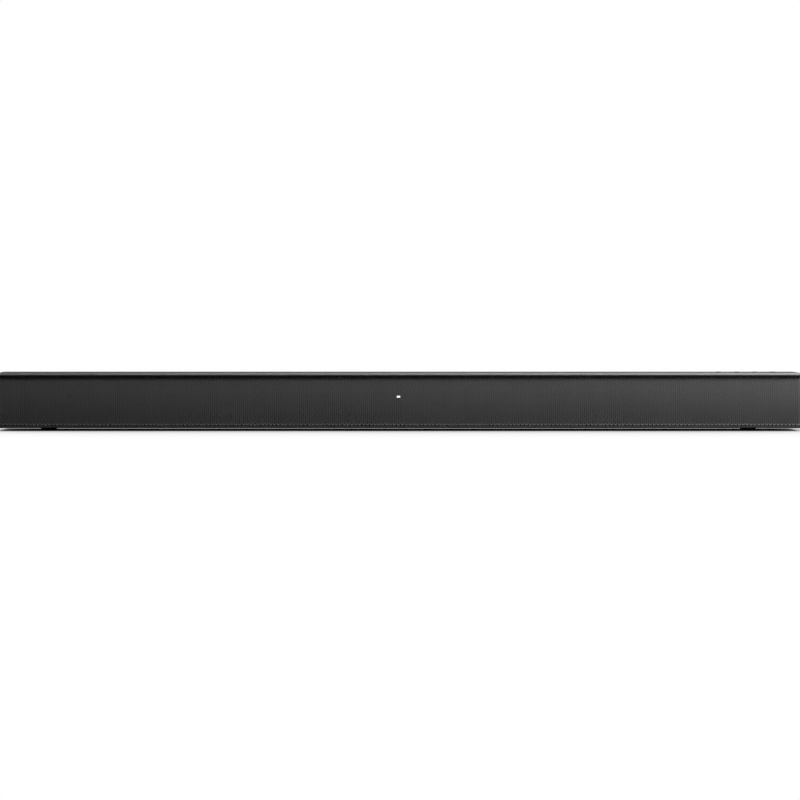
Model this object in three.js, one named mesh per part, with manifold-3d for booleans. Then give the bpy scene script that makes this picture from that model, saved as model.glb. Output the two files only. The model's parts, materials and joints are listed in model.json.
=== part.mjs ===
// A slim two-channel soundbar, built as the separate pieces that it is assembled from.
// Millimetres. +X runs along the bar to the listener's right, -Y is the front and +Z is up.
// The origin is on the surface that the feet stand on, under the middle of the bar.
import * as THREE from "three";
import { mergeVertices } from "three/addons/utils/BufferGeometryUtils.js";
import Module from "manifold-3d";

const wasm = await Module();
wasm.setup();

// ---------------------------------------------------------------- driving dimensions

// The whole bar.
const LENGTH = 900;
const DEPTH = 88;
const HEIGHT = 65;
const FOOT_HEIGHT = 3.3;
const FRONT = -DEPTH / 2;
const BACK = DEPTH / 2;

// The cabinet's panels. GAP is the clearance between neighbouring pieces.
const GAP = 0.3;
const WALL = 2.5;
const END_PLATE = 2.5;
const EDGE = 1.2; // chamfer along the back and bottom edges
const BEVEL = 1.8; // chamfer along the top front edge
const LENGTH_INSIDE = LENGTH - 2 * (END_PLATE + GAP); // between the end caps' plates

// Heights, from the bottom up.
const BASE_TOP = 5.7; // upper face of the bottom panel
const NOSE_BOTTOM = 61.9; // underside of the lid's front nose
const GROOVE = 2.4; // depth of the shadow groove between the nose and the grille
const GROOVE_BOTTOM = 60.9;
const LID_UNDERSIDE = HEIGHT - WALL;
const LIP_BOTTOM = 58.5; // lower edge of the lid's rear lip

// The perforated steel grille: a shallow pan, rolled back along the top, with a lip that kicks
// forward along the bottom.
const SHEET = 0.8;
const GRILLE_FRONT = FRONT + 0.4;
const GRILLE_BOW = 1.4; // how far the front swells in the middle
const GRILLE_HIGH_BEND = 1; // outer radius of the rolled top edge
const LIP_HEIGHT = 2.4;
const LIP_KICK = 0.4; // how far the lip comes forward
const LIP_ROUND = 0.6; // height of the rounding under the lip
const GRILLE_REAR = GRILLE_FRONT + GRILLE_BOW + 2.4;
const CLOTH_FRONT = GRILLE_FRONT + 2.1;
const GRILLE_LOW = BASE_TOP + GAP;
const GRILLE_HIGH = GROOVE_BOTTOM - GAP;
const GRILLE_LENGTH = LENGTH - 0.8;

// The baffle that carries the drivers, behind the grille.
const BAFFLE_FRONT = -39.5;
const BAFFLE_REAR = -36.5;
const BAFFLE_LOW = 8;
const BAFFLE_HIGH = 58.3;

// Places along the bar, each mirrored to both sides.
const DRIVER_X = 330;
const DRIVER_Z = 33.3;
const PORT_X = 210;
const PORT_Z = 33.3;
const BULKHEAD_X = 150;
const FOOT_X = 395;
const FOOT_Y = 30;
const KEYHOLE_X = 400;
const CASE_SCREW_X = 250;
const CASE_SCREW_XS = [-CASE_SCREW_X, CASE_SCREW_X];
const PORT_SIDES = 16;
const KEYHOLE_CUP = { width: 24, low: 21, high: 55, front: 31.5, sheet: 1.2 };
const FRONT_SCREW_Y = -33;
const REAR_SCREW_Y = 38;

// The buttons on the right of the lid.
const BUTTONS = ["power", "input", "volume_down", "volume_up"];
const FIRST_BUTTON_X = 362;
const BUTTON_PITCH = 20.5;
const BUTTON_RADIUS = 3.45;
const BUTTON_PROUD = 0.95;
const KEY_BOARD_TOP = 55;

// The indicator in the middle of the front: a pill-shaped light guide.
const INDICATOR_Z = 38.6;
const INDICATOR_HALF_STRAIGHT = 0.9;
const INDICATOR_RADIUS = 0.85;

// The bays in the back for the plugs, and the boards that their sockets stand on.
const BAY_DEPTH = 18;
const BAY_WALL = 2;
const BAY_LOW = 10.5;
const BAY_HIGH = 36.5;
const SIGNAL_BAY = { from: 20, to: 124 };
const MAINS_BAY = { from: -118, to: -76 };
const BOARD = 1.6;
const BOARD_LOW = 14;
const BOARD_HIGH = BOARD_LOW + BOARD;
const SOCKET_FACE = BACK - BAY_DEPTH;
const SOCKET_LOW = BOARD_HIGH + GAP;

// ---------------------------------------------------------------- materials

const finish = (color, roughness, metalness = 0) =>
  new THREE.MeshStandardMaterial({ color, roughness, metalness });
const texturedPlastic = finish(0x1d1d1e, 0.55);
const mattePlastic = finish(0x161617, 0.75);
const glossPlastic = finish(0x0b0b0c, 0.2);
const paintedSteel = finish(0x232324, 0.45, 0.4);
const rubber = finish(0x111111, 0.9);
const bareSteel = finish(0xa9abad, 0.35, 1);
const aluminium = finish(0xb8babc, 0.4, 1);
const blackCloth = finish(0x0c0c0c, 1);
const paper = finish(0x2a2a2b, 0.9);
const ferrite = finish(0x3a3a3c, 0.7);
const circuitBoard = finish(0x1f5a35, 0.5);
const clearPlastic = finish(0xf2f5f7, 0.2);
const yellowTape = finish(0xc9a23a, 0.5);
const wireJacket = finish(0x202022, 0.6);

// ---------------------------------------------------------------- solids

const X = new THREE.Vector3(1, 0, 0);
const Y = new THREE.Vector3(0, 1, 0);
const Z = new THREE.Vector3(0, 0, 1);

/** A geometry as a manifold-3d solid, for joining and cutting. */
function toSolid(geometry) {
  const bare = geometry.clone();
  bare.deleteAttribute("normal");
  bare.deleteAttribute("uv");
  const merged = mergeVertices(bare, 1e-4);
  return new wasm.Manifold(
    new wasm.Mesh({
      numProp: 3,
      vertProperties: merged.attributes.position.array,
      triVerts: new Uint32Array(merged.index.array),
    }),
  );
}

function toGeometry(solid) {
  const mesh = solid.getMesh();
  const geometry = new THREE.BufferGeometry();
  geometry.setAttribute("position", new THREE.BufferAttribute(mesh.vertProperties, 3));
  geometry.setIndex(new THREE.BufferAttribute(mesh.triVerts, 1));
  return geometry;
}

const join = (...parts) => toGeometry(parts.map(toSolid).reduce((all, part) => all.add(part)));
const cut = (base, ...tools) =>
  toGeometry(tools.map(toSolid).reduce((left, tool) => left.subtract(tool), toSolid(base)));

/** A box between two values on each axis. */
function block([x0, x1], [y0, y1], [z0, z1]) {
  const box = new THREE.BoxGeometry(x1 - x0, y1 - y0, z1 - z0);
  return box.translate((x0 + x1) / 2, (y0 + y1) / 2, (z0 + z1) / 2);
}

/** The pair of limits that lie half a width either side of a middle. */
const around = (middle, width) => [middle - width / 2, middle + width / 2];

/** A closed outline through points. */
const outline = (points) => new THREE.Shape(points.map(([u, v]) => new THREE.Vector2(u, v)));

/** A Y-Z outline, swept along X and centred on x = 0. */
function sweptAlongX(shape, length) {
  const swept = new THREE.ExtrudeGeometry(shape, { depth: length, bevelEnabled: false, curveSegments: 6 });
  return swept.translate(0, 0, -length / 2).applyMatrix4(new THREE.Matrix4().makeBasis(Y, Z, X));
}

/** An X-Z outline, swept along Y between two values. */
function sweptAlongY(shape, [y0, y1], curveSegments = 12) {
  const swept = new THREE.ExtrudeGeometry(shape, { depth: y1 - y0, bevelEnabled: false, curveSegments });
  return swept.applyMatrix4(new THREE.Matrix4().makeBasis(X, Z, Y.clone().negate())).translate(0, y1, 0);
}

/** A racetrack outline around (x, z): two half circles joined by straight sides along X. */
function racetrack(x, z, halfStraight, radius) {
  const shape = new THREE.Shape();
  shape.absarc(x + halfStraight, z, radius, -Math.PI / 2, Math.PI / 2);
  shape.absarc(x - halfStraight, z, radius, Math.PI / 2, (3 * Math.PI) / 2);
  return shape;
}

/** A profile of [radius, height] points, turned about Z. It runs upwards on its outer side. */
function turnedAboutZ(profile, sides = 24) {
  const points = profile.map(([r, h]) => new THREE.Vector2(r, h));
  return new THREE.LatheGeometry(points, sides).rotateX(Math.PI / 2);
}

/** The same, turned about Y, with the profile's heights measured along +Y. */
function turnedAboutY(profile, sides = 24) {
  const points = profile.map(([r, h]) => new THREE.Vector2(r, h));
  return new THREE.LatheGeometry(points, sides);
}

/** A post or a drill along Z between two heights. */
const post = (x, y, radius, [z0, z1], sides = 16) =>
  turnedAboutZ([[0, z0], [radius, z0], [radius, z1], [0, z1]], sides).translate(x, y, 0);

/**
 * A racetrack-shaped ring about Y. Each point of its closed profile is [radius, y, halfStraight],
 * so the ring can change from a racetrack at one edge to a circle at the other.
 */
function racetrackRing(profile, halfTurnSteps = 12) {
  const positions = [];
  for (const [radius, y, halfStraight] of profile) {
    for (const side of [1, -1]) {
      for (let step = 0; step <= halfTurnSteps; step += 1) {
        const angle = Math.PI * (step / halfTurnSteps - 0.5);
        const x = halfStraight + radius * Math.cos(angle);
        positions.push(side * x, y, side * radius * Math.sin(angle));
      }
    }
  }
  const around = 2 * (halfTurnSteps + 1);
  const corner = (ring, step) => (ring % profile.length) * around + (step % around);
  const index = [];
  for (let ring = 0; ring < profile.length; ring += 1) {
    for (let step = 0; step < around; step += 1) {
      const [a, b] = [corner(ring, step), corner(ring + 1, step)];
      const [c, d] = [corner(ring + 1, step + 1), corner(ring, step + 1)];
      index.push(a, b, c, a, c, d);
    }
  }
  const geometry = new THREE.BufferGeometry();
  geometry.setAttribute("position", new THREE.Float32BufferAttribute(positions, 3));
  return geometry.setIndex(index);
}

/** A round lead along a smooth path through points. */
function lead(points, radius, steps) {
  const path = new THREE.CatmullRomCurve3(points.map((p) => new THREE.Vector3(...p)), false, "centripetal");
  const section = new THREE.Shape().absarc(0, 0, radius, 0, 2 * Math.PI);
  return new THREE.ExtrudeGeometry(section, { extrudePath: path, steps, curveSegments: 4 });
}

// ---------------------------------------------------------------- the assembly

const soundbar = new THREE.Group();

function add(name, geometry, material, parent = soundbar) {
  const mesh = new THREE.Mesh(geometry, material);
  mesh.name = name;
  parent.add(mesh);
  return mesh;
}

/** Runs a builder once for each side: "left" at -X and "right" at +X. */
function onBothSides(build) {
  build("left", -1);
  build("right", 1);
}

// ---------------------------------------------------------------- cabinet

const buttonX = (number) => FIRST_BUTTON_X + number * BUTTON_PITCH;
const KEY_BOARD_POST_XS = [buttonX(0) + BUTTON_PITCH / 2, buttonX(2) + BUTTON_PITCH / 2];

/** The lid: a flat top, a chamfered nose over a shadow groove, and a lip down the back. */
function makeTopCover() {
  const section = outline([
    [FRONT, NOSE_BOTTOM],
    [FRONT + GROOVE, NOSE_BOTTOM],
    [FRONT + GROOVE, GROOVE_BOTTOM],
    [FRONT + 6, GROOVE_BOTTOM],
    [FRONT + 6, LID_UNDERSIDE],
    [BACK - WALL, LID_UNDERSIDE],
    [BACK - WALL, LIP_BOTTOM],
    [BACK, LIP_BOTTOM],
    [BACK, HEIGHT - EDGE],
    [BACK - EDGE, HEIGHT],
    [FRONT + BEVEL, HEIGHT],
    [FRONT, HEIGHT - BEVEL],
  ]);
  const posts = KEY_BOARD_POST_XS.map((x) => post(x, 0, 2.2, [KEY_BOARD_TOP + GAP, HEIGHT - 1]));
  const shell = join(sweptAlongX(section, LENGTH_INSIDE), ...posts);
  const holes = BUTTONS.map((_, n) => post(buttonX(n), 0, BUTTON_RADIUS + GAP, [60, 70], 24));
  add("top_cover", cut(shell, ...holes), texturedPlastic);
}

/** The bottom panel, with posts for the boards, vents under the power board and screw seats. */
function makeBottomPanel() {
  const front = FRONT + 1.6;
  const section = outline([
    [front + EDGE, FOOT_HEIGHT],
    [BACK - EDGE, FOOT_HEIGHT],
    [BACK, FOOT_HEIGHT + EDGE],
    [BACK, BASE_TOP],
    [front, BASE_TOP],
    [front, FOOT_HEIGHT + EDGE],
  ]);
  const boardPosts = [-130, -20, 20, 130].flatMap((x) =>
    [-18, 8].map((y) => post(x, y, 3, [BASE_TOP - 1, BOARD_LOW - GAP], 12)),
  );
  const panel = join(sweptAlongX(section, LENGTH_INSIDE), ...boardPosts);
  const tools = [];
  for (const x of CASE_SCREW_XS) {
    for (const y of [FRONT_SCREW_Y, REAR_SCREW_Y]) {
      tools.push(post(x, y, 1.7, [0, 10], 12));
      tools.push(post(x, y, 3.6, [0, FOOT_HEIGHT + 1.5], 20));
    }
  }
  for (const x of [-FOOT_X, FOOT_X]) {
    for (const y of [-FOOT_Y, FOOT_Y]) tools.push(post(x, y, 6.2, [0, FOOT_HEIGHT + 0.8], 28));
  }
  const ventCount = 9;
  for (let vent = 0; vent < ventCount; vent += 1) {
    const x = -115 + 10 * vent;
    tools.push(block(around(x, 3), [-10, 4], [0, 10]));
    tools.push(block(around(-x, 3), [-10, 4], [0, 10]));
  }
  add("bottom_panel", cut(panel, ...tools), mattePlastic);
}

const REAR_HEIGHTS = [BASE_TOP + GAP, LIP_BOTTOM - GAP];

/** A stretch of the back with a bay moulded into it, and a hole for each socket in the bay. */
function makeBay(name, { from, to }, stretch) {
  const inside = BACK - WALL;
  const panel = block(stretch, [inside, BACK], REAR_HEIGHTS);
  const tray = block(
    [from - BAY_WALL, to + BAY_WALL],
    [SOCKET_FACE - BAY_WALL, inside + 1],
    [BAY_LOW - BAY_WALL, BAY_HIGH + BAY_WALL],
  );
  const holes = Object.values(SOCKETS)
    .filter(({ middle }) => middle > from && middle < to)
    .map(({ middle, width, height }) =>
      block(
        around(middle, width + 2 * GAP),
        [SOCKET_FACE - BAY_WALL - 1, SOCKET_FACE + 1],
        [SOCKET_LOW - GAP, SOCKET_LOW + height + GAP],
      ),
    );
  const bay = block([from, to], [SOCKET_FACE, BACK + 1], [BAY_LOW, BAY_HIGH]);
  add(name, cut(join(panel, tray), bay, ...holes), mattePlastic);
}

/** The middle of the back: a plain stretch between two bays. */
function makeRearPanels() {
  const seams = [MAINS_BAY.to + 8, SIGNAL_BAY.from - 8];
  const end = BULKHEAD_X - GAP / 2;
  makeBay("mains_bay", MAINS_BAY, [-end, seams[0] - GAP]);
  add("rear_panel", block(seams, [BACK - WALL, BACK], REAR_HEIGHTS), mattePlastic);
  makeBay("signal_bay", SIGNAL_BAY, [seams[1] + GAP, end]);
}

/** The back of a speaker chamber: openings for the port and the keyhole cup, and a screw boss. */
function makeChamberBack(name, side) {
  const inside = BACK - WALL;
  const [near, far] = [BULKHEAD_X + GAP / 2, LENGTH_INSIDE / 2];
  const panel = block(around((side * (near + far)) / 2, far - near), [inside, BACK], REAR_HEIGHTS);
  const screwX = side * CASE_SCREW_X;
  const boss = post(screwX, REAR_SCREW_Y, 3.5, [BASE_TOP + GAP, 16], 16);
  const web = block(around(screwX, 4), [REAR_SCREW_Y, inside + 1], [BASE_TOP + GAP, 16]);
  const portHole = (radius, from) =>
    turnedAboutY([[0, from], [radius, from], [radius, BACK + 1], [0, BACK + 1]], PORT_SIDES).translate(
      side * PORT_X,
      0,
      PORT_Z,
    );
  const cup = block(
    around(side * KEYHOLE_X, KEYHOLE_CUP.width + 2 * GAP),
    [inside - 1, BACK + 1],
    [KEYHOLE_CUP.low - GAP, KEYHOLE_CUP.high + GAP],
  );
  const screwHole = post(screwX, REAR_SCREW_Y, 1.7, [0, 15.5], 12);
  const holes = [portHole(15.4, inside - 1), portHole(20.5, BACK - 1.5), cup, screwHole];
  add(`${name}_chamber_back`, cut(join(panel, boss, web), ...holes), mattePlastic);
}

/** The baffle: racetrack holes for the drivers, two small windows and bosses for the front screws. */
function makeFrontBaffle() {
  const thickness = [BAFFLE_FRONT, BAFFLE_REAR];
  const added = [block(around(0, LENGTH_INSIDE - 0.6), thickness, [BAFFLE_LOW, BAFFLE_HIGH])];
  const removed = [];
  for (const x of CASE_SCREW_XS) {
    added.push(post(x, FRONT_SCREW_Y, 3.5, [BASE_TOP + GAP, 16], 16));
    added.push(block(around(x, 4), [BAFFLE_REAR - 1, FRONT_SCREW_Y], [BAFFLE_LOW, 16]));
    removed.push(post(x, FRONT_SCREW_Y, 1.7, [0, 15.5], 12));
  }
  const through = [BAFFLE_FRONT - 1, BAFFLE_REAR + 1];
  onBothSides((_, side) => {
    removed.push(sweptAlongY(racetrack(side * DRIVER_X, DRIVER_Z, 28, 20.3), through));
  });
  removed.push(sweptAlongY(racetrack(0, INDICATOR_Z, INDICATOR_HALF_STRAIGHT, 1.2), through, 6));
  removed.push(block(around(14, 7), through, around(INDICATOR_Z, 7)));
  add("front_baffle", cut(join(...added), ...removed), mattePlastic);
}

/** The grille pan's section: a slightly bowed front, rolled back above and lipped below. */
function grilleSection(inset, rear) {
  const [low, high] = [GRILLE_LOW + LIP_HEIGHT, GRILLE_HIGH - GRILLE_HIGH_BEND];
  const face = GRILLE_FRONT + GRILLE_BOW + inset;
  const rolled = GRILLE_FRONT + GRILLE_BOW + GRILLE_HIGH_BEND;
  const lip = face - LIP_KICK;
  const shape = new THREE.Shape();
  shape.moveTo(rear, GRILLE_HIGH - inset);
  shape.lineTo(rolled, GRILLE_HIGH - inset);
  shape.absarc(rolled, high, GRILLE_HIGH_BEND - inset, Math.PI / 2, Math.PI);
  shape.quadraticCurveTo(face - 2 * GRILLE_BOW, (low + high) / 2, face, low);
  shape.lineTo(lip, GRILLE_LOW + LIP_ROUND + inset);
  shape.lineTo(lip + LIP_ROUND, GRILLE_LOW + inset);
  shape.lineTo(rear, GRILLE_LOW + inset);
  return shape;
}

function makeFrontGrille() {
  const outer = sweptAlongX(grilleSection(0, GRILLE_REAR), GRILLE_LENGTH);
  const inner = sweptAlongX(grilleSection(SHEET, GRILLE_REAR + 1), GRILLE_LENGTH - 2 * SHEET);
  const pill = racetrack(0, INDICATOR_Z, INDICATOR_HALF_STRAIGHT, INDICATOR_RADIUS + 0.15);
  add("front_grille", cut(outer, inner, sweptAlongY(pill, [FRONT - 1, -40], 6)), paintedSteel);
}

/** The acoustic cloth stretched behind the grille. */
function makeScrim() {
  const cloth = block(around(0, GRILLE_LENGTH - 4), [CLOTH_FRONT, CLOTH_FRONT + 0.3], [9.9, 57.3]);
  const window = racetrack(0, INDICATOR_Z, INDICATOR_HALF_STRAIGHT, INDICATOR_RADIUS + 0.4);
  add("grille_cloth", cut(cloth, sweptAlongY(window, [FRONT - 1, -40], 6)), blackCloth);
}

/** An end cap: a plate that closes the bar, with a rim that plugs into it. */
function makeEndCap(name, side) {
  const low = FRONT + 1.6;
  const plate = outline([
    [FRONT, NOSE_BOTTOM],
    [FRONT + GROOVE, NOSE_BOTTOM],
    [FRONT + GROOVE, GROOVE_BOTTOM],
    [GRILLE_REAR + GAP, GROOVE_BOTTOM],
    [GRILLE_REAR + GAP, BASE_TOP],
    [low, BASE_TOP],
    [low, FOOT_HEIGHT + EDGE],
    [low + EDGE, FOOT_HEIGHT],
    [BACK - EDGE, FOOT_HEIGHT],
    [BACK, FOOT_HEIGHT + EDGE],
    [BACK, HEIGHT - EDGE],
    [BACK - EDGE, HEIGHT],
    [FRONT + BEVEL, HEIGHT],
    [FRONT, HEIGHT - BEVEL],
  ]);
  const plateX = side * (LENGTH / 2 - END_PLATE / 2);
  const rimX = side * (LENGTH / 2 - END_PLATE - 3);
  const rim = cut(
    block(around(rimX, 8), [-35.9, 41], [6.7, 62.1]),
    block(around(rimX - side, 8), [-33.9, 39], [8.7, 60.1]),
  );
  add(`${name}_end_cap`, join(sweptAlongX(plate, END_PLATE).translate(plateX, 0, 0), rim), mattePlastic);
}

/** A bulkhead between the electronics and a speaker chamber, notched for the leads. */
function makeBulkhead(name, side) {
  const wall = around(side * BULKHEAD_X, 3);
  const plate = block(wall, [-36.2, 41.2], [BASE_TOP + GAP, 62.2]);
  const notch = around(side * BULKHEAD_X, 5);
  add(
    `${name}_bulkhead`,
    cut(plate, block(notch, [-31, -24], [0, 12.5]), block(notch, [-5, 5], [56.5, 70])),
    mattePlastic,
  );
}

/** A round rubber foot, pressed into its seat in the bottom panel. */
function makeFoot(name, x, y) {
  const foot = turnedAboutZ([[0, 0], [5.1, 0], [5.7, 0.6], [5.9, 3.9], [0, 3.9]], 28);
  add(name, foot.translate(x, y, 0), rubber);
}

/** A pan-head case screw with a cross recess, driven up from below. */
function makeCaseScrew(name, x, y) {
  const low = FOOT_HEIGHT + 0.2;
  const screw = turnedAboutZ(
    [[0, low], [2.6, low], [3.2, low + 0.5], [3.2, low + 1.2], [1.4, low + 1.2], [1.4, 14.2], [0, 15]],
    16,
  );
  const recess = [
    block(around(0, 3), around(0, 0.7), [low - 1, low + 0.8]),
    block(around(0, 0.7), around(0, 3), [low - 1, low + 0.8]),
  ];
  add(name, cut(screw, ...recess).translate(x, y, 0), bareSteel);
}

/** A steel wall-hanging cup: a screw's head enters the round hole and slides up the slot. */
function makeKeyholeCup(name, side) {
  const { width, low, high, front, sheet } = KEYHOLE_CUP;
  const cup = block(around(0, width), [front, BACK], [low, high]);
  const hollow = block(
    around(0, width - 2 * sheet),
    [front + sheet, BACK - sheet],
    [low + sheet, high - sheet],
  );
  const through = [BACK - 3, BACK + 1];
  const entry = sweptAlongY(new THREE.Shape().absarc(0, 33, 4.6, 0, 2 * Math.PI), through, 12);
  const slot = sweptAlongY(racetrack(0, 44, 0, 2.4), through, 6);
  const channel = block(around(0, 4.8), through, [33, 44]);
  const shape = cut(cup, hollow, entry, slot, channel);
  add(`${name}_keyhole_cup`, shape.translate(side * KEYHOLE_X, 0, 0), bareSteel);
}

/** A bass port: a straight tube whose mouth flares out to a flange in the rear panel. */
function makePortTube(name, side) {
  const flange = BACK - 1.2;
  const profile = [
    [13, -14],
    [15, -14],
    [15, flange],
    [20, flange],
    [20, BACK],
    [17.5, BACK],
    [13, BACK - 6],
    [13, -14],
  ];
  const tube = turnedAboutY(profile, PORT_SIDES);
  add(`${name}_port_tube`, tube.translate(side * PORT_X, 0, PORT_Z), glossPlastic);
}

// ---------------------------------------------------------------- drivers

/** One racetrack driver: basket, surround, cone with its coil former, dust cap and magnet. */
function makeDriver(name, side) {
  const driver = new THREE.Group();
  driver.position.set(side * DRIVER_X, 0, DRIVER_Z);
  soundbar.add(driver);

  const seat = BAFFLE_FRONT - 0.2;
  const basket = racetrackRing([
    [23.5, seat, 28],
    [19.9, seat, 28],
    [19.9, -33.5, 28],
    [15.5, -19, 12],
    [15.5, -17.5, 12],
    [11.6, -17.5, 0],
    [11.6, -19, 0],
    [14, -20.2, 12],
    [18.6, -34, 28],
    [18.6, seat - 1.2, 28],
    [23.5, seat - 1.2, 28],
  ]);
  add(`${name}_driver_basket`, basket, mattePlastic, driver);

  // The surround: a half-roll of rubber that bridges the basket and the cone.
  const rollMiddle = 16.7;
  const rollY = seat + 0.4;
  const rollSteps = 4;
  const arc = (radius) =>
    Array.from({ length: rollSteps + 1 }, (_, step) => {
      const angle = (Math.PI * step) / rollSteps;
      return [rollMiddle - radius * Math.cos(angle), rollY - radius * Math.sin(angle), 28];
    });
  const roll = [...arc(1.6), ...arc(1).reverse()];
  add(`${name}_driver_surround`, racetrackRing(roll), rubber, driver);

  const cone = racetrackRing([
    [14.8, -38.6, 28],
    [14.8, -37.8, 28],
    [10.4, -24.4, 0],
    [10.4, -13, 0],
    [9.8, -13, 0],
    [9.8, -25.6, 0],
  ]);
  add(`${name}_driver_cone`, cone, paper, driver);

  const dome = [[0, -33.2], [4, -32.7], [7.4, -31], [9.4, -28.2]];
  const thickness = 0.6;
  const cap = [...dome, ...dome.map(([r, y]) => [r, y + thickness]).reverse()];
  add(`${name}_dust_cap`, turnedAboutY(cap, 24).translate(0, 1.6, 0), glossPlastic, driver);

  const magnet = turnedAboutY([
    [0, -17],
    [9.2, -17],
    [9.2, -8],
    [11, -8],
    [11, -17],
    [20, -17],
    [20, -14],
    [22, -14],
    [22, -4],
    [20, -4],
    [20, -1],
    [0, -1],
  ], 32);
  add(`${name}_driver_magnet`, magnet, ferrite, driver);
}

// ---------------------------------------------------------------- boards and sockets

// Each socket's middle and its size across and up. They stand in a row on the boards.
const SOCKETS = {
  hdmi: { middle: 38, width: 15.6, height: 7, depth: 13 },
  optical: { middle: 60, width: 10, height: 10, depth: 14 },
  aux: { middle: 80, width: 9, height: 8, depth: 13 },
  usb: { middle: 104, width: 14.6, height: 7.4, depth: 15 },
  mains: { middle: -97, width: 22, height: 13, depth: 17 },
};

const socketMiddleZ = (socket) => SOCKET_LOW + socket.height / 2;

/** A socket's housing, before its opening is cut. */
function socketHousing({ middle, width, height, depth }) {
  const heights = [SOCKET_LOW, SOCKET_LOW + height];
  return block(around(middle, width), [SOCKET_FACE - depth, SOCKET_FACE], heights);
}

function makeSockets() {
  const { hdmi, optical, aux, usb, mains } = SOCKETS;
  const into = (depth) => [SOCKET_FACE - depth, SOCKET_FACE + 1];
  const hdmiZ = socketMiddleZ(hdmi);
  const hdmiMouth = outline([
    [hdmi.middle - 7.1, hdmiZ + 2.5],
    [hdmi.middle - 7.1, hdmiZ - 0.8],
    [hdmi.middle - 5.4, hdmiZ - 2.5],
    [hdmi.middle + 5.4, hdmiZ - 2.5],
    [hdmi.middle + 7.1, hdmiZ - 0.8],
    [hdmi.middle + 7.1, hdmiZ + 2.5],
  ]);
  const hdmiReach = [SOCKET_FACE - 11, SOCKET_FACE - 1];
  const hdmiTongue = block(around(hdmi.middle, 10), hdmiReach, around(hdmiZ, 1.4));
  const hdmiShell = cut(socketHousing(hdmi), sweptAlongY(hdmiMouth, into(9.5)));
  add("hdmi_socket", join(hdmiShell, hdmiTongue), bareSteel);
  const opticalMouth = block(around(optical.middle, 6.2), into(9), around(socketMiddleZ(optical), 6.2));
  add("optical_socket", cut(socketHousing(optical), opticalMouth), glossPlastic);
  const auxMouth = sweptAlongY(racetrack(aux.middle, socketMiddleZ(aux), 0, 1.8), into(11), 10);
  add("aux_socket", cut(socketHousing(aux), auxMouth), glossPlastic);
  const usbMouth = block(around(usb.middle, 12.6), into(12), around(socketMiddleZ(usb), 5.4));
  const usbReach = [SOCKET_FACE - 13, SOCKET_FACE - 1.5];
  const usbTongue = block(around(usb.middle, 11), usbReach, around(socketMiddleZ(usb) + 1, 1.8));
  add("usb_socket", join(cut(socketHousing(usb), usbMouth), usbTongue), bareSteel);
  const mainsMouth = sweptAlongY(racetrack(mains.middle, socketMiddleZ(mains), 4.2, 4.4), into(12), 10);
  const pinReach = [
    [0, SOCKET_FACE - 13],
    [1.2, SOCKET_FACE - 13],
    [1.2, SOCKET_FACE - 3],
    [0, SOCKET_FACE - 2.4],
  ];
  const pins = [-4.2, 4.2].map((offset) =>
    turnedAboutY(pinReach, 12).translate(mains.middle + offset, 0, socketMiddleZ(mains)),
  );
  add("mains_inlet", join(cut(socketHousing(mains), mainsMouth), ...pins), mattePlastic);
}

/** A board lying on the bottom panel's posts. */
function makeBoards() {
  const boardY = [-24, SOCKET_FACE - BAY_WALL - 0.6];
  add("main_board", block([11, 139], boardY, [BOARD_LOW, BOARD_HIGH]), circuitBoard);
  add("power_board", block([-139, -11], boardY, [BOARD_LOW, BOARD_HIGH]), circuitBoard);
  add("transformer", block(around(-44, 34), around(-4, 28), [SOCKET_LOW, SOCKET_LOW + 26]), yellowTape);
  add("mains_capacitor", post(-88, -9, 9, [SOCKET_LOW, SOCKET_LOW + 32], 20), glossPlastic);
}

/** The amplifier's heatsink: a base with upright fins, extruded along X. */
function makeHeatsink() {
  const [front, back] = [-21, 1];
  const [base, fin, fins] = [4, 1.6, 5];
  const low = SOCKET_LOW;
  const high = low + 26;
  const pitch = (back - front - fin) / (fins - 1);
  const points = [[back, low]];
  for (let n = fins - 1; n >= 0; n -= 1) {
    const y = front + n * pitch;
    points.push([y + fin, high], [y, high]);
    if (n > 0) points.push([y, low + base], [y - pitch + fin, low + base]);
  }
  points.push([front, low]);
  add("amplifier_heatsink", sweptAlongX(outline(points), 60).translate(96, 0, 0), aluminium);
}

/** The indicator's board, its light guide and the remote-control receiver beside it. */
function makeIndicator() {
  add("indicator_board", block([-20, 24], [-34.6, -33], [29, 48]), circuitBoard);
  const pill = racetrack(0, INDICATOR_Z, INDICATOR_HALF_STRAIGHT, INDICATOR_RADIUS);
  add("indicator_light_guide", sweptAlongY(pill, [GRILLE_FRONT + 0.05, -34.9], 6), clearPlastic);
  const receiver = block(around(14, 6), [-38.4, -34.9], around(INDICATOR_Z, 6));
  const dome = turnedAboutY([[0, -40.4], [2.2, -39.6], [2.6, -38], [0, -38]], 16);
  add("remote_receiver", join(receiver, dome.translate(14, 0, INDICATOR_Z)), glossPlastic);
}

// ---------------------------------------------------------------- buttons

/** A round button: a low dome through the lid, a flange that holds it in and a stem to its switch. */
function makeButton(name, x) {
  const flangeTop = LID_UNDERSIDE - GAP;
  const top = HEIGHT + BUTTON_PROUD;
  const cap = turnedAboutZ(
    [
      [0, 60],
      [1.5, 60],
      [1.5, flangeTop - 1],
      [4.8, flangeTop - 1],
      [4.8, flangeTop],
      [BUTTON_RADIUS, flangeTop],
      [BUTTON_RADIUS, top - 0.5],
      [BUTTON_RADIUS - 0.45, top - 0.1],
      [BUTTON_RADIUS - 1.2, top],
      [0, top - 0.12],
    ],
    24,
  );
  add(`${name}_button`, cap.translate(x, 0, 0), texturedPlastic);
}

/** A tactile switch on the key board, under one button's stem. */
function makeSwitch(name, x) {
  const body = block(around(x, 6), around(0, 6), [KEY_BOARD_TOP + 0.2, 58.4]);
  add(`${name}_switch`, join(body, post(x, 0, 1.7, [58, 59.1], 12)), mattePlastic);
}

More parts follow.
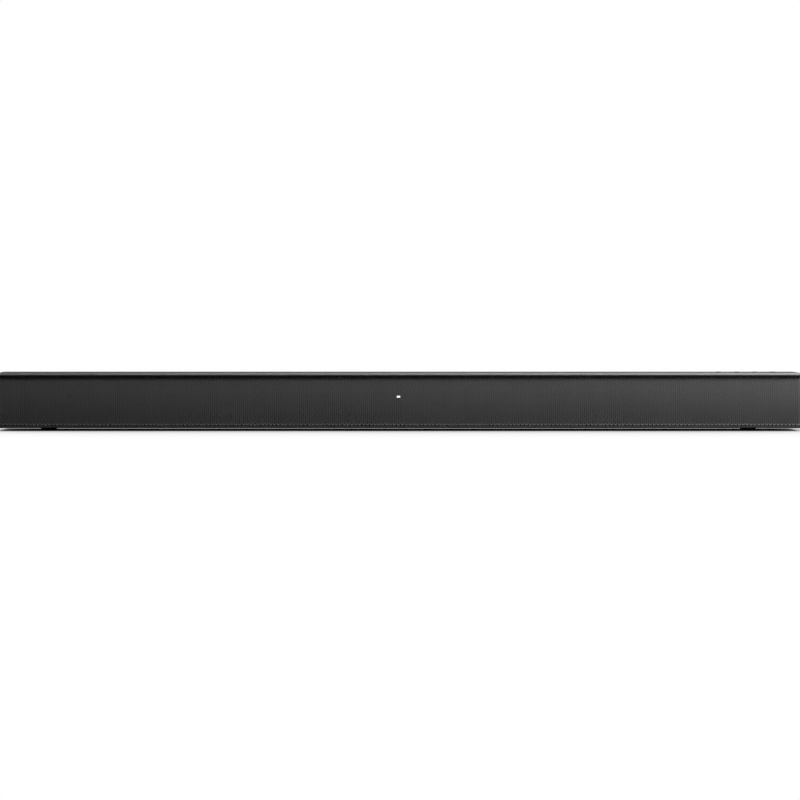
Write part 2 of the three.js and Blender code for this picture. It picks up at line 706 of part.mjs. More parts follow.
function makeKeys() {
  const edge = 9;
  const boardX = [buttonX(0) - edge, buttonX(BUTTONS.length - 1) + edge];
  add("key_board", block(boardX, [-9, 9], [KEY_BOARD_TOP - BOARD, KEY_BOARD_TOP]), circuitBoard);
  BUTTONS.forEach((name, number) => {
    makeButton(name, buttonX(number));
    makeSwitch(name, buttonX(number));
  });
}

// ---------------------------------------------------------------- leads

const LEAD_RADIUS = 1.2;

/** The leads inside the cabinet, from the main board to the drivers. */
function makeLeads() {
  const floor = BASE_TOP + LEAD_RADIUS + 1.2;
  const run = -27.5;
  const leftLead = [
    [17, -21, 17.5],
    [10, -23, 17.4],
    [4, -25.5, 13],
    [-4, run, floor + 0.4],
    [-12, run, floor],
    [-140, run, floor],
    [-276, run, floor],
    [-284, run, floor + 0.4],
    [-294, -24, 12],
    [-300, -16, 17],
  ];
  const rightLead = [
    [132, -21, 17.5],
    [140, -23, 17.4],
    [145, -25.5, 12.5],
    [152, run, floor + 0.4],
    [160, run, floor],
    [220, run, floor],
    [276, run, floor],
    [284, run, floor + 0.4],
    [294, -24, 12],
    [300, -16, 17],
  ];
  add("left_speaker_lead", lead(leftLead, LEAD_RADIUS, 44), wireJacket);
  add("right_speaker_lead", lead(rightLead, LEAD_RADIUS, 32), wireJacket);
}

// ---------------------------------------------------------------- build

makeTopCover();
makeBottomPanel();
makeRearPanels();
makeFrontBaffle();
makeFrontGrille();
makeScrim();
onBothSides((name, side) => {
  makeEndCap(name, side);
  makeBulkhead(name, side);
  makeDriver(name, side);
  makePortTube(name, side);
  makeKeyholeCup(name, side);
  makeChamberBack(name, side);
  makeFoot(`front_${name}_foot`, side * FOOT_X, -FOOT_Y);
  makeFoot(`rear_${name}_foot`, side * FOOT_X, FOOT_Y);
});
CASE_SCREW_XS.forEach((x, number) => {
  makeCaseScrew(`front_case_screw_${number + 1}`, x, FRONT_SCREW_Y);
  makeCaseScrew(`rear_case_screw_${number + 1}`, x, REAR_SCREW_Y);
});
makeSockets();
makeBoards();
makeHeatsink();
makeIndicator();
makeKeys();
makeLeads();

export default soundbar;
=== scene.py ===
# %% [markdown]
# # A slim two-channel soundbar
# A long black bar with a perforated steel front, a moulded lid with four buttons and four rubber
# feet. The solids come in as a frame that already fits together. This lesson gives them their
# finishes, and makes again the pieces whose real shape is too fine for a solid.

# %% Load the frame
import json
import math
from bisect import bisect_left

import bpy
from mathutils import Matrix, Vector
from mathutils.geometry import delaunay_2d_cdt


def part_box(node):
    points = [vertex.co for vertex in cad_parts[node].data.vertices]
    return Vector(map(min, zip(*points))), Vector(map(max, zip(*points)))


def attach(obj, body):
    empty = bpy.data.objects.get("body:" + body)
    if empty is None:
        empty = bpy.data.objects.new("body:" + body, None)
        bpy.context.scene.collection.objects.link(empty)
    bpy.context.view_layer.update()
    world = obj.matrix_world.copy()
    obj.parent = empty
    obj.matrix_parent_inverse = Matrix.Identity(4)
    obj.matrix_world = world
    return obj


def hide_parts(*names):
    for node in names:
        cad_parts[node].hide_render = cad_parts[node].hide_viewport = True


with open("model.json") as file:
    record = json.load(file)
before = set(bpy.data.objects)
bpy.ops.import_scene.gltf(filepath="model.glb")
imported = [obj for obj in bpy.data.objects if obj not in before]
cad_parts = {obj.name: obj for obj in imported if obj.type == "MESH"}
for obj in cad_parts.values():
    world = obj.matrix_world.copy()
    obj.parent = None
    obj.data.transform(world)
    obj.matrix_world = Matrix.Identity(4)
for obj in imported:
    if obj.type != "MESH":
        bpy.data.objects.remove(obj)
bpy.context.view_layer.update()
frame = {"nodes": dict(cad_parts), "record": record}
MM = 0.001

# %% [markdown]
# The bar is almost level with the eye and several metres away, so a long lens keeps its lines
# nearly parallel. The camera comes first, because everything else is judged through it.

# %% Camera
CAMERA_PLACE = Vector((1.7, -3644, 133)) * MM
CAMERA_DOWN = 1.561  # degrees below level
LENS_MM = 145.1
SENSOR_MM = 36
lens = bpy.data.cameras.new("camera")
lens.lens = LENS_MM
lens.sensor_width = SENSOR_MM
camera = bpy.data.objects.new("camera", lens)
camera.location = CAMERA_PLACE
camera.rotation_euler = (math.radians(90 - CAMERA_DOWN), 0, 0)
bpy.context.scene.collection.objects.link(camera)
bpy.context.scene.camera = camera
print("camera is", round(-CAMERA_PLACE.y, 2), "m in front of the bar's middle")

# %% [markdown]
# Two helpers serve every finish. One turns an sRGB hex colour into the linear numbers that a shader
# needs. The other adds a node with its settings and links, so that a material reads as a list. A Mix
# node has an A, a B and a result for every kind of value, all with the same names, so the ones for
# colour are reached by number.


# %% Helpers for materials
def linear(hex_colour):
    """An sRGB colour such as "1d1d1e" as linear red, green, blue and alpha."""
    parts = [int(hex_colour[i : i + 2], 16) / 255 for i in (0, 2, 4)]
    return [c / 12.92 if c <= 0.04045 else ((c + 0.055) / 1.055) ** 2.4 for c in parts] + [1.0]


def add_node(tree, kind, settings=None, inputs=None):
    """A node with its settings. An input is a value, or another node's output socket."""
    node = tree.nodes.new(kind)
    for name, value in (settings or {}).items():
        setattr(node, name, value)
    for name, value in (inputs or {}).items():
        if isinstance(value, bpy.types.NodeSocket):
            tree.links.new(value, node.inputs[name])
        else:
            node.inputs[name].default_value = value
    return node


MIX_A, MIX_B = 6, 7  # the colour inputs of a Mix node
MIX_RESULT = 2  # its colour output
print("mid grey is", round(linear("808080")[0], 3))

# %% [markdown]
# Most finishes here are one family: a base colour that drifts a little over a few centimetres, a
# roughness that drifts with it, and a fine grain that bumps the surface. The grain's size is given
# in millimetres. Stretching it along X gives the lines of extruded metal.


# %% A grained finish
DRIFT_MM = 45  # how far apart the slow changes of tone are
DRIFT_SHARE = 0.6  # how much of the tone is slow drift, and the rest is grain
ROUGHNESS_SWING = 0.06  # how far the roughness goes either way
BUMP_STRENGTH = 0.6


def grained(name, dark, light, roughness, grain_mm, height_mm, metallic=0.0, ior=1.5, stretch=1.0):
    """A finish between two colours, whose grain has a size and a height in millimetres."""
    material = bpy.data.materials.new(name)
    material.use_nodes = True
    tree = material.node_tree
    shader = tree.nodes["Principled BSDF"]
    shader.inputs["Metallic"].default_value = metallic
    if not metallic:
        shader.inputs["IOR"].default_value = ior
    place = add_node(tree, "ShaderNodeTexCoord").outputs["Object"]
    stretched = add_node(
        tree, "ShaderNodeMapping", inputs={"Vector": place, "Scale": (1 / stretch, 1, 1)}
    ).outputs["Vector"]
    drift = add_node(
        tree, "ShaderNodeTexNoise", inputs={"Vector": place, "Scale": 1000 / DRIFT_MM, "Detail": 3.0}
    ).outputs["Fac"]
    grain = add_node(
        tree, "ShaderNodeTexNoise", inputs={"Vector": stretched, "Scale": 1000 / grain_mm, "Detail": 2.0}
    ).outputs["Fac"]
    slow = add_node(
        tree, "ShaderNodeMath", {"operation": "MULTIPLY"}, {0: drift, 1: DRIFT_SHARE}
    ).outputs[0]
    blend = add_node(
        tree,
        "ShaderNodeMath",
        {"operation": "MULTIPLY_ADD"},
        {0: grain, 1: 1 - DRIFT_SHARE, 2: slow},
    ).outputs[0]
    tone = add_node(
        tree,
        "ShaderNodeMix",
        {"data_type": "RGBA"},
        {"Factor": blend, MIX_A: linear(dark), MIX_B: linear(light)},
    ).outputs[MIX_RESULT]
    rough = add_node(
        tree,
        "ShaderNodeMapRange",
        inputs={
            "Value": blend,
            "To Min": roughness - ROUGHNESS_SWING,
            "To Max": roughness + ROUGHNESS_SWING,
        },
    ).outputs[0]
    bump = add_node(
        tree,
        "ShaderNodeBump",
        inputs={"Height": grain, "Distance": height_mm * MM, "Strength": BUMP_STRENGTH},
    ).outputs[0]
    tree.links.new(tone, shader.inputs["Base Color"])
    tree.links.new(rough, shader.inputs["Roughness"])
    tree.links.new(bump, shader.inputs["Normal"])
    return material


# %% [markdown]
# The plastics. The lid and buttons are moulded ABS from a spark-eroded mould, which leaves a fine
# satin grain of about 0.3 mm. It is drawn at 0.6 mm, so that it shows. The panels nobody looks at
# are plain matt ABS. Ports and sockets come from a polished mould and are glossy.

# %% Plastics and rubber
FINISHES = {
    "textured_abs": grained("spark_textured_abs", "19191a", "202021", 0.55, 0.6, 0.012, ior=1.54),
    "matte_abs": grained("moulded_abs_matt", "131314", "1a1a1b", 0.6, 0.9, 0.03, ior=1.54),
    "gloss_abs": grained("polished_abs", "0b0b0c", "0f0f10", 0.14, 3, 0.005, ior=1.54),
    "rubber": grained("moulded_rubber", "0d0d0d", "171717", 0.85, 0.5, 0.04, ior=1.52),
    "paper_cone": grained("coated_paper_pulp", "1c1c1d", "2e2e30", 0.8, 0.7, 0.06),
    "winding_tape": grained("polyester_winding_tape", "b8922f", "cfa945", 0.35, 2, 0.01),
    "wire_jacket": grained("pvc_wire_sleeve", "18181a", "222224", 0.5, 1, 0.01),
    "circuit_board": grained("glass_fibre_board_green", "15472a", "1f5f38", 0.35, 1.5, 0.02),
}
print("plastics:", sorted(FINISHES))

# %% [markdown]
# The metals. The grille is sheet steel with a fine powder coat: a hard plastic skin, so it isn't
# metallic to the eye, with an orange-peel of about 0.5 mm, drawn at 0.8 mm. Screws, keyhole plates
# and socket shells are zinc-plated steel, and the heatsink is extruded, with lines along it.

# %% Metals and ferrite
FINISHES |= {
    "powder_coated_steel": grained("powder_coated_steel", "343435", "3d3d3e", 0.5, 0.8, 0.008),
    "bare_steel": grained("zinc_plated_steel", "8f9193", "a9abad", 0.32, 0.8, 0.01, metallic=1.0),
    "aluminium": grained(
        "extruded_aluminium", "a6a8aa", "c0c2c4", 0.38, 0.5, 0.02, metallic=1.0, stretch=40
    ),
    "ferrite": grained("sintered_ferrite", "29292b", "3a3a3c", 0.7, 0.8, 0.05),
}
print("finishes so far:", len(FINISHES))

# %% [markdown]
# The indicator is a light guide of milky acrylic with a white diode behind it. It is on, so the
# shader glows. The glow is set just short of white, because the real one is a small crisp point.

# %% The lit light guide
GLOW = 0.85
MILK_MM = 1.0  # the size of the cloudiness in the acrylic
glow = bpy.data.materials.new("milky_acrylic_lit")
glow.use_nodes = True
glow_tree = glow.node_tree
glow_shader = glow_tree.nodes["Principled BSDF"]
glow_shader.inputs["Roughness"].default_value = 0.3
glow_shader.inputs["IOR"].default_value = 1.49
glow_shader.inputs["Emission Strength"].default_value = GLOW
milk = add_node(glow_tree, "ShaderNodeTexNoise", inputs={"Scale": 1000 / MILK_MM})
milk_tone = add_node(
    glow_tree,
    "ShaderNodeMix",
    {"data_type": "RGBA"},
    {"Factor": milk.outputs["Fac"], MIX_A: linear("eef2f6"), MIX_B: linear("ffffff")},
)
glow_tree.links.new(milk_tone.outputs[MIX_RESULT], glow_shader.inputs["Base Color"])
glow_tree.links.new(milk_tone.outputs[MIX_RESULT], glow_shader.inputs["Emission Color"])
FINISHES["light_guide"] = glow
print("glow strength:", GLOW)

# %% [markdown]
# Every solid says in the record which slot its finish comes from, so one loop dresses them all. The
# grille and its cloth are left out, because they are made again below.

# %% Dress the solids
REMADE = ("front_grille", "grille_cloth")
for part in frame["record"]["subparts"]:
    if part["node"] in REMADE:
        continue
    node_mesh = frame["nodes"][part["node"]].data
    node_mesh.materials.clear()
    node_mesh.materials.append(FINISHES[part["material_slot"]])

# %% [markdown]
# The grille is one sheet, punched flat and then rolled over at its long edges. So it is made in the
# same order: first its section is worked out as a path, and then a flat punched sheet is laid along
# that path. The path starts at the bottom flange, goes up over a lip that kicks forward and a
# slightly bowed face, and ends at the top flange. The lip stiffens the edge, and it catches the light
# from above.

# %% The grille's section
SHEET = 0.8 * MM
BOW = 1.4 * MM  # how far the middle of the face stands in front of its edges
LIP_HEIGHT = 2.4 * MM
LIP_KICK = 0.4 * MM  # how far the lip's tip stands in front of the face's edge
LIP_ROUND = 0.6 * MM
LIP_CURVE = 1.5  # the power that makes the lip's sweep hollow
HIGH_BEND = 1.0 * MM
ROUND_STEPS, SWEEP_STEPS, FACE_STEPS, BEND_STEPS = 4, 8, 24, 6
grille_low, grille_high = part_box("front_grille")
edge_y = grille_low.y + BOW
face_low, face_high = grille_low.z + LIP_HEIGHT, grille_high.z - HIGH_BEND


def lip():
    """The lip, from its underside up to the face: a small rounding and then a hollow sweep."""
    tip = edge_y - LIP_KICK
    turns = [math.pi / 2 * step / ROUND_STEPS for step in range(ROUND_STEPS + 1)]
    rounding = [
        (tip + LIP_ROUND * (1 - math.sin(turn)), grille_low.z + LIP_ROUND * (1 - math.cos(turn)))
        for turn in turns
    ]
    rises = [step / SWEEP_STEPS for step in range(1, SWEEP_STEPS + 1)]
    sweep = [
        (
            edge_y - LIP_KICK * (1 - rise) ** LIP_CURVE,
            grille_low.z + LIP_ROUND + (LIP_HEIGHT - LIP_ROUND) * rise,
        )
        for rise in rises
    ]
    return rounding + sweep


def section_path():
    """Points (y, z) on the grille's outer face, from the bottom flange to the top one."""
    face = []
    for step in range(1, FACE_STEPS):
        up = step / FACE_STEPS
        swell = 4 * BOW * up * (1 - up)
        face.append((edge_y - swell, face_low + (face_high - face_low) * up))
    turns = [math.pi / 2 * step / BEND_STEPS for step in range(BEND_STEPS + 1)]
    top = [
        (edge_y + HIGH_BEND * (1 - math.cos(turn)), face_high + HIGH_BEND * math.sin(turn))
        for turn in turns
    ]
    return [(grille_high.y, grille_low.z), *lip(), *face, *top, (grille_high.y, grille_high.z)]


PATH = section_path()
LENGTHS = [0.0]
for (y0, z0), (y1, z1) in zip(PATH, PATH[1:]):
    LENGTHS.append(LENGTHS[-1] + math.hypot(y1 - y0, z1 - z0))
print("the sheet is", round(LENGTHS[-1] / MM, 1), "mm wide before it is rolled")


def on_path(along):
    """The place and the outward normal, as (y, z) pairs, at a distance along the path."""
    index = min(max(bisect_left(LENGTHS, along), 1), len(PATH) - 1)
    (y0, z0), (y1, z1) = PATH[index - 1], PATH[index]
    span = LENGTHS[index] - LENGTHS[index - 1]
    t = (along - LENGTHS[index - 1]) / span
    return (y0 + (y1 - y0) * t, z0 + (z1 - z0) * t), (-(z1 - z0) / span, (y1 - y0) / span)


# %% [markdown]
# The real holes are a little under 1 mm across, about 1.5 mm apart, which is too fine to show from
# this far. They are drawn coarser, 2.5 mm apart, as hexagons in the same staggered columns, which
# still makes many thousands of them. They go right through, because light and shade in the holes is
# what makes the front look like perforated metal.

# %% Lay out the holes
PITCH = 2.5 * MM
HOLE = 0.78 * MM  # from a hole's middle to its corners
BORDER = 1.2 * MM  # the least bare metal at the sheet's edges
COLUMN = PITCH * math.sqrt(3) / 2
SEARCH_STEPS = 2000  # how finely the path is searched for the height of the light
LIGHT_CLEAR = Vector((2.9, 1.9)) * MM  # how far holes keep from the middle of the light's window
sheet_length = grille_high.x - grille_low.x - 2 * SHEET
sheet_width = LENGTHS[-1]
columns = 2 * int((sheet_length / 2 - BORDER - HOLE) / COLUMN) + 1
rows = int((sheet_width - 2 * (BORDER + HOLE) - PITCH / 2) / PITCH) + 1
light_low, light_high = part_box("indicator_light_guide")
light_z = (light_low.z + light_high.z) / 2
light_along = min(
    (sheet_width * step / SEARCH_STEPS for step in range(SEARCH_STEPS + 1)),
    key=lambda along: abs(on_path(along)[0][1] - light_z),
)


def hole_centres():
    """The middles of the holes on the flat sheet, column by column."""
    for column in range(columns):
        x = (column - columns // 2) * COLUMN
        stagger = PITCH / 4 if column % 2 else -PITCH / 4
        for row in range(rows):
            along = sheet_width / 2 + (row - (rows - 1) / 2) * PITCH + stagger
            if abs(x) > LIGHT_CLEAR.x or abs(along - light_along) > LIGHT_CLEAR.y:
                yield x, along


print("holes:", len(list(hole_centres())), "in", columns, "columns")

# %% [markdown]
# The window for the light guide is a pill, punched with the holes. A constrained triangulation then
# fills the sheet between the holes with as few triangles as it can. The whole front would be one
# very heavy mesh, so it is made in three lengths, which meet on the bare metal between two columns.


# %% Punch the flat sheet
WINDOW_GAP = 0.12 * MM
PILL_STEPS = 8
RIM_STEP = 3 * MM
HOLE_SIDES = 6
LEAVE_HOLES_OPEN = 2  # the kind of output in which a loop inside another one is a hole
SAME_POINT = 1e-9


def window_pill():
    """The outline of the light guide's window, with a small gap round the guide."""
    radius = (light_high.z - light_low.z) / 2 + WINDOW_GAP
    straight = (light_high.x - light_low.x) / 2 + WINDOW_GAP - radius
    turns = [math.pi * (step / PILL_STEPS - 0.5) for step in range(PILL_STEPS + 1)]
    return [
        (end * (straight + radius * math.cos(turn)), light_along + end * radius * math.sin(turn))
        for end in (1, -1)
        for turn in turns
    ]


def stretch_rim(x0, x1):
    """The edge of a stretch of the flat sheet, with a point at each step of the rolled section."""
    steps = round((x1 - x0) / RIM_STEP)
    across = [x0 + (x1 - x0) * i / steps for i in range(steps)]
    return (
        [(x, 0) for x in across]
        + [(x1, along) for along in LENGTHS[:-1]]
        + [(x0 + x1 - x, sheet_width) for x in across]
        + [(x0, sheet_width - along) for along in LENGTHS[:-1]]
    )


def punched(x0, x1):
    """A flat stretch of the punched sheet: its points, its triangles and its loops of edge."""
    outlines = [stretch_rim(x0, x1)]
    if x0 < 0 < x1:
        outlines.append(window_pill())
    turns = [corner * 2 * math.pi / HOLE_SIDES for corner in range(HOLE_SIDES)]
    for x, along in hole_centres():
        if x0 < x < x1:
            outlines.append([(x + HOLE * math.cos(t), along + HOLE * math.sin(t)) for t in turns])
    points, loops = [], []
    for outline in outlines:
        loops.append(list(range(len(points), len(points) + len(outline))))
        points += [Vector(corner) for corner in outline]
    result = delaunay_2d_cdt(points, [], loops, LEAVE_HOLES_OPEN, SAME_POINT)
    flat_points, _, triangles, sources = result[:4]
    new_index = {old: new for new, olds in enumerate(sources) for old in olds}
    return flat_points, triangles, [[new_index[i] for i in loop] for loop in loops]


half = sheet_length / 2
cut = (round(half / 3 / COLUMN) + 0.5) * COLUMN
STRETCHES = {"left": (-half, -cut), "middle": (-cut, cut), "right": (cut, half)}
print("the sheet is cut at", round(cut / MM, 1), "mm either side of the middle")

# %% [markdown]
# Each flat point becomes two, one on each face of the sheet, and every hole and the rim get a wall
# between the faces. The ends of the real grille are folded back, so a plate closes each one.


# %% Roll the sheet and close it
def rolled(point, depth):
    """Where a point of the flat sheet lands, at a depth under the outer face."""
    (y, z), (ny, nz) = on_path(min(max(point.y, 0), sheet_width))
    return (point.x, y - ny * depth, z - nz * depth)


def rolled_stretch(x0, x1):
    """The vertices and faces of one closed, rolled stretch of the punched sheet."""
    flat, triangles, loops = punched(x0, x1)
    count = len(flat)
    points = [rolled(p, 0) for p in flat] + [rolled(p, SHEET) for p in flat]
    polygons = [tuple(triangle) for triangle in triangles]
    polygons += [tuple(i + count for i in reversed(triangle)) for triangle in triangles]
    for loop in loops:
        for a, b in zip(loop, loop[1:] + loop[:1]):
            polygons.append((a, b, b + count, a + count))
    return points, polygons


def end_plate(near, far):
    """The folded end: the section's own outline, filled between two places along X."""
    points = [(x, y, z) for x in (near, far) for y, z in PATH]
    size = len(PATH)
    polygons = [tuple(range(size)), tuple(reversed(range(size, 2 * size)))]
    polygons += [(i, size + i, size + (i + 1) % size, (i + 1) % size) for i in range(size)]
    return points, polygons


print("the section has", len(PATH), "points")

# %% [markdown]
# Every piece that is made here becomes an object in the same way: its faces are turned outwards, it
# is shaded smooth except over crisp edges, and it is told which body it rides on and which finish
# slot it takes. All the pieces made here belong to the cabinet, which is the one body that stays put.


# %% Turn points and faces into a piece
SMOOTH_BELOW = math.radians(30)  # edges sharper than this stay crisp


def make_piece(name, points, polygons, material, body="cabinet"):
    """A mesh object that rides on a body."""
    mesh = bpy.data.meshes.new(name)
    mesh.from_pydata(points, [], polygons)
    mesh.validate()
    mesh.materials.append(material)
    piece = bpy.data.objects.new(name, mesh)
    bpy.context.scene.collection.objects.link(piece)
    bpy.context.view_layer.objects.active = piece
    piece.select_set(True)
    bpy.ops.object.mode_set(mode="EDIT")
    bpy.ops.mesh.select_all(action="SELECT")
    bpy.ops.mesh.normals_make_consistent(inside=False)
    bpy.ops.object.mode_set(mode="OBJECT")
    piece.select_set(False)
    mesh.polygons.foreach_set("use_smooth", [True] * len(mesh.polygons))
    mesh.set_sharp_from_angle(angle=SMOOTH_BELOW)
    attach(piece, body)
    return piece


for stretch_name, (start, end) in STRETCHES.items():
    grille_points, grille_faces = rolled_stretch(start, end)
    if stretch_name != "middle":
        fold = start if stretch_name == "left" else end
        plate_points, plate_faces = end_plate(fold, fold + math.copysign(SHEET, fold))
        grille_faces += [tuple(i + len(grille_points) for i in face) for face in plate_faces]
        grille_points += plate_points
    grille = make_piece(
        f"perforated_grille_{stretch_name}",
        grille_points,
        grille_faces,
        FINISHES["powder_coated_steel"],
    )
    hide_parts("front_grille")
    print(grille.name, "triangles:", sum(len(p.vertices) - 2 for p in grille.data.polygons))

# %% [markdown]
# Behind the grille a thin woven cloth keeps dust out and hides the drivers. It is stretched flat on
# its frame. Its threads are about 0.3 mm apart and are drawn 2 mm apart. The weave is two sets of
# ridges at right angles, where the higher one wins.

# %% The acoustic cloth
THREAD_MM = 2.0
THREAD_HEIGHT = 0.2 * MM
WAVE_RATE = 20  # how many radians a wave texture turns through over one unit of its scaled place
weave = bpy.data.materials.new("woven_acoustic_cloth")
weave.use_nodes = True
weave_tree = weave.node_tree
weave_shader = weave_tree.nodes["Principled BSDF"]
weave_shader.inputs["Roughness"].default_value = 0.95
weave_place = add_node(weave_tree, "ShaderNodeTexCoord").outputs["Object"]
band_scale = 2 * math.pi / WAVE_RATE * 1000 / THREAD_MM
warp, weft = (
    add_node(
        weave_tree,
        "ShaderNodeTexWave",
        {"bands_direction": direction},
        {"Vector": weave_place, "Scale": band_scale},
    ).outputs["Fac"]
    for direction in ("X", "Z")
)
ridge = add_node(weave_tree, "ShaderNodeMath", {"operation": "MAXIMUM"}, {0: warp, 1: weft})
thread_tone = add_node(
    weave_tree,
    "ShaderNodeMix",
    {"data_type": "RGBA"},
    {"Factor": ridge.outputs[0], MIX_A: linear("242424"), MIX_B: linear("363636")},
)
thread_bump = add_node(
    weave_tree, "ShaderNodeBump", inputs={"Height": ridge.outputs[0], "Distance": THREAD_HEIGHT}
)
weave_tree.links.new(thread_tone.outputs[MIX_RESULT], weave_shader.inputs["Base Color"])
weave_tree.links.new(thread_bump.outputs[0], weave_shader.inputs["Normal"])
print("threads:", THREAD_MM, "mm apart")

# %% Stretch the cloth on its frame
CLOTH_CELL = 12 * MM
cloth_low, cloth_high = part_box("grille_cloth")
cloth_length, cloth_thickness, cloth_height = cloth_high - cloth_low
cells_x = round(cloth_length / CLOTH_CELL)
cells_z = round(cloth_height / CLOTH_CELL)
cloth_points = [
    (
        cloth_low.x + cloth_length * i / cells_x,
        cloth_low.y + cloth_thickness / 2,
        cloth_low.z + cloth_height * j / cells_z,
    )
    for j in range(cells_z + 1)
    for i in range(cells_x + 1)
]
stride = cells_x + 1
cloth_faces = [
    (j * stride + i, j * stride + i + 1, (j + 1) * stride + i + 1, (j + 1) * stride + i)
    for j in range(cells_z)
    for i in range(cells_x)
]
cloth = make_piece("acoustic_cloth", cloth_points, cloth_faces, weave)
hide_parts("grille_cloth")
print("cloth cells:", cells_x, "by", cells_z)

# %% [markdown]
# The bass ports are turned shapes: a straight bore whose mouth flares out, so that air leaves it
# without a chuffing sound. The flare is a smooth curve, which a solid with flat sides can't show,
# so it is spun again here with enough steps to read as round.

# %% The flared bass ports
SPIN_STEPS = 72
BORE = 13 * MM  # the radius of the bore, and below it those of the tube and the flare's curve
TUBE = 15 * MM
FLARE = 5.2 * MM
INNER_CHAMFER = 0.3 * MM  # at the end inside the cabinet
FLANGE = 1.2 * MM
FLANGE_CHAMFER = 0.4 * MM
FLARE_STEPS = 10


def spun_about_y(name, profile, centre, material):
    """A closed profile of (radius, y) turned about an axis along Y through a centre (x, z)."""
    points, faces = [], []
    for step in range(SPIN_STEPS):
        turn = 2 * math.pi * step / SPIN_STEPS
        points += [
            (centre[0] + r * math.cos(turn), y, centre[1] + r * math.sin(turn)) for r, y in profile
        ]
    size = len(profile)
    for step in range(SPIN_STEPS):
        here, there = step * size, (step + 1) % SPIN_STEPS * size
        for i in range(size):
            j = (i + 1) % size
            faces.append((here + i, here + j, there + j, there + i))
    return make_piece(name, points, faces, material)


def port_profile(inner_end, mouth, flange_radius):
    """The port's section (radius, y): up its outside, over the flange, and back down the flare."""
    outside = [
        (BORE, inner_end),
        (TUBE - INNER_CHAMFER, inner_end),
        (TUBE, inner_end + INNER_CHAMFER),
        (TUBE, mouth - FLANGE),
        (flange_radius, mouth - FLANGE),
        (flange_radius, mouth - FLANGE_CHAMFER),
        (flange_radius - FLANGE_CHAMFER, mouth),
    ]
    turns = [math.pi / 2 * step / FLARE_STEPS for step in range(FLARE_STEPS + 1)]
    flare = [
        (BORE + FLARE * (1 - math.sin(turn)), mouth - FLARE * (1 - math.cos(turn)))
        for turn in turns
    ]
    return outside + flare


for side in ("left", "right"):
    port_low, port_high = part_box(f"{side}_port_tube")
    port_section = port_profile(port_low.y, port_high.y, (port_high.z - port_low.z) / 2)
    middle = ((port_low.x + port_high.x) / 2, (port_low.z + port_high.z) / 2)
    port = spun_about_y(
        f"{side}_bass_port", port_section, middle, FINISHES["gloss_abs"]
    )
    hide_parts(f"{side}_port_tube")
    print(port.name, "mouth", round(2 * (BORE + FLARE) / MM, 1), "mm across")

# %% [markdown]
# A moulded edge is never razor sharp. A narrow bevel on the lid and the base gives each edge the
# thin line of light that a real one catches. The solids arrive as loose triangles, so they are
# welded, and their flat faces made whole, before they are bevelled.

# %% Soften the moulded edges
SOFT_EDGE = 0.3 * MM
WELD_REACH = 0.01 * MM
FLAT_BELOW = math.radians(1)
EDGE_ABOVE = math.radians(35)
SOFTENED = ["top_cover", "bottom_panel"]
for name in SOFTENED:
    modifiers = frame["nodes"][name].modifiers
    weld = modifiers.new("weld", "WELD")
    weld.merge_threshold = WELD_REACH
    whole = modifiers.new("whole_faces", "DECIMATE")
    whole.decimate_type = "DISSOLVE"
    whole.angle_limit = FLAT_BELOW
    soften = modifiers.new("soft_edge", "BEVEL")
    soften.width = SOFT_EDGE
    soften.segments = 2
    soften.angle_limit = EDGE_ABOVE
print("softened:", SOFTENED)

# %% [markdown]
# The underside carries a plain silver label, left blank here, with rounded corners.

# %% The blank label
LABEL = Vector((84, 32, 0.08)) * MM
LABEL_X = 200 * MM
CORNER = 2.5 * MM
CORNER_STEPS = 6
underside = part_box("bottom_panel")[0].z
label_outline = []
for quarter, (along_x, along_y) in enumerate(((1, 1), (-1, 1), (-1, -1), (1, -1))):
    corner_x = LABEL_X + along_x * (LABEL.x / 2 - CORNER)
    corner_y = along_y * (LABEL.y / 2 - CORNER)
    for step in range(CORNER_STEPS + 1):
        turn = math.pi / 2 * (quarter + step / CORNER_STEPS)
        label_outline.append(
            (corner_x + CORNER * math.cos(turn), corner_y + CORNER * math.sin(turn))
        )
size = len(label_outline)
label_points = [(x, y, z) for z in (underside, underside - LABEL.z) for x, y in label_outline]
label_faces = [tuple(range(size)), tuple(range(2 * size - 1, size - 1, -1))]
label_faces += [(i, (i + 1) % size, size + (i + 1) % size, size + i) for i in range(size)]
foil = grained("silver_label_foil", "8c8e90", "9c9ea0", 0.35, 1.5, 0.004, metallic=1.0)
make_piece("blank_label", label_points, label_faces, foil)
print("label:", round(LABEL.x / MM), "by", round(LABEL.y / MM), "mm")

# %% [markdown]
# The bar stands on a plain pale floor. In a studio the floor is lit until it is just white, and only
# the soft shade right beside an object stays. So the camera sees the floor glowing white, with that
# shade painted in: the glow is dimmed by how much of its surroundings is blocked, and no lamp casts
# it. Every other ray sees a darker floor, which throws little light up, so the front keeps its shade
# towards the bottom.

# %% Floor
floor_material = bpy.data.materials.new("pale_floor_painted_shade")
floor_material.use_nodes = True
floor_tree = floor_material.node_tree
floor_shader = floor_tree.nodes["Principled BSDF"]
floor_shader.inputs["Base Color"].default_value = linear("404040")
floor_shader.inputs["Roughness"].default_value = 1.0
# painted shade: how far and how finely the floor's white glow is darkened beside and under the bar
PAINTED_SHADE_REACH = 200 * MM
PAINTED_SHADE_SAMPLES = 8
painted_floor_shade = add_node(
    floor_tree,
    "ShaderNodeAmbientOcclusion",
    {"samples": PAINTED_SHADE_SAMPLES},
    {"Distance": PAINTED_SHADE_REACH},
)
# the camera sees this glow: white, with painted shade wherever the bar blocks the floor's surroundings
floor_glow_with_painted_shade = add_node(floor_tree, "ShaderNodeEmission", inputs={"Color": painted_floor_shade.outputs["Color"]})
ray = add_node(floor_tree, "ShaderNodeLightPath")
seen_or_lit = add_node(
    floor_tree,
    "ShaderNodeMixShader",
    inputs={0: ray.outputs["Is Camera Ray"], 1: floor_shader.outputs[0], 2: floor_glow_with_painted_shade.outputs[0]},
)
floor_output = floor_tree.nodes["Material Output"]
floor_tree.links.new(seen_or_lit.outputs[0], floor_output.inputs["Surface"])
FLOOR_HALF = 60  # metres, far past the edge of any view
floor_mesh = bpy.data.meshes.new("floor")
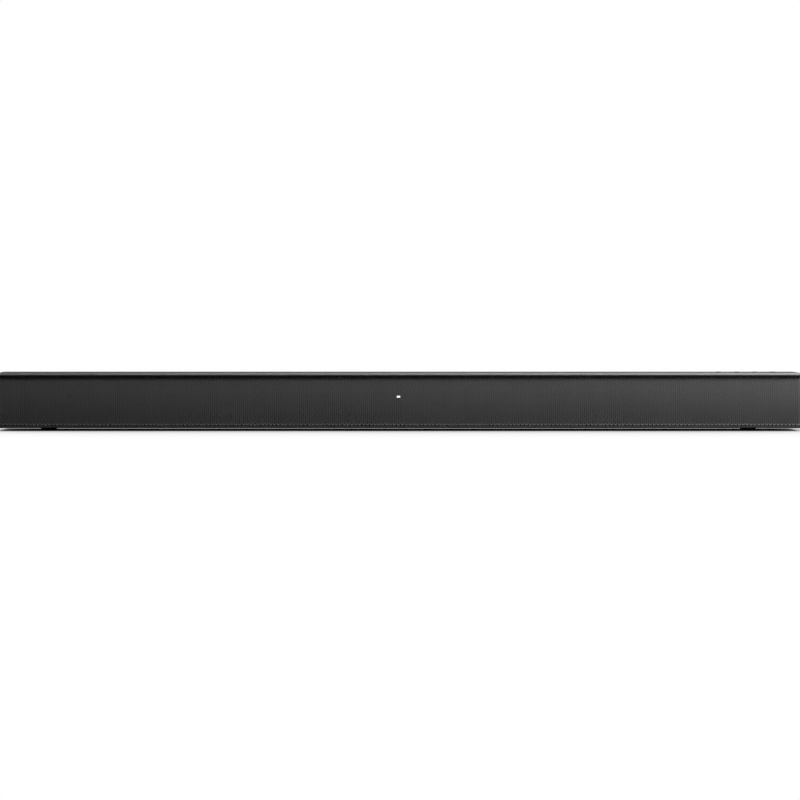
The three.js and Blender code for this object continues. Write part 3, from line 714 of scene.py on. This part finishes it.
floor_mesh.from_pydata(
    [(x * FLOOR_HALF, y * FLOOR_HALF, 0) for x, y in ((-1, -1), (1, -1), (1, 1), (-1, 1))],
    [],
    [(0, 1, 2, 3)],
)
floor_mesh.materials.append(floor_material)
floor = bpy.data.objects.new("floor", floor_mesh)
bpy.context.scene.collection.objects.link(floor)
print("floor:", 2 * FLOOR_HALF, "m square")

# %% [markdown]
# Past the floor the camera sees a white backdrop. The same backdrop gives the bar only a trace of
# light from all round, so that nearly all its light comes from the softboxes.

# %% Backdrop
AMBIENT = 0.03
world = bpy.data.worlds.new("studio")
bpy.context.scene.world = world
world.use_nodes = True
sky_ray = add_node(world.node_tree, "ShaderNodeLightPath")
sky_tone = add_node(
    world.node_tree,
    "ShaderNodeMix",
    {"data_type": "RGBA"},
    {
        "Factor": sky_ray.outputs["Is Camera Ray"],
        MIX_A: (AMBIENT, AMBIENT, AMBIENT, 1),
        MIX_B: (1, 1, 1, 1),
    },
)
backdrop = world.node_tree.nodes["Background"]
world.node_tree.links.new(sky_tone.outputs[MIX_RESULT], backdrop.inputs["Color"])
print("ambient light:", AMBIENT)

# %% [markdown]
# Four softboxes light the bar. A long strip almost straight above grazes the front, which is what
# shows up its bow and its lip. A stronger strip at the right end makes the bar brighten from left to
# right. A weak box fills from the front, and another from behind reaches the lid and the back.


# %% Softboxes
def softbox(name, place, aim, size, watts):
    """An area light turned towards a point, in metres and watts. The camera doesn't see it."""
    data = bpy.data.lights.new(name, "AREA")
    data.shape = "RECTANGLE"
    data.size, data.size_y = size
    data.energy = watts
    lamp = bpy.data.objects.new(name, data)
    lamp.location = place
    lamp.rotation_euler = (Vector(aim) - Vector(place)).to_track_quat("-Z", "Y").to_euler()
    lamp.visible_camera = False
    bpy.context.scene.collection.objects.link(lamp)


MID_BAR = 0.03  # the height that every softbox is turned towards
softbox("overhead strip", (0.2, -0.17, 1.0), (0.15, 0, MID_BAR), size=(1.6, 0.12), watts=22)
softbox("right strip", (1.0, -0.34, 1.0), (0.7, 0, MID_BAR), size=(0.5, 0.12), watts=54)
softbox("front fill", (1.3, -1.6, 0.7), (0.3, 0, MID_BAR), size=(0.5, 0.5), watts=9)
softbox("back", (0, 0.9, 1.3), (0, 0, MID_BAR), size=(1.2, 0.4), watts=5)
scene = bpy.context.scene
scene.view_settings.view_transform = "Standard"
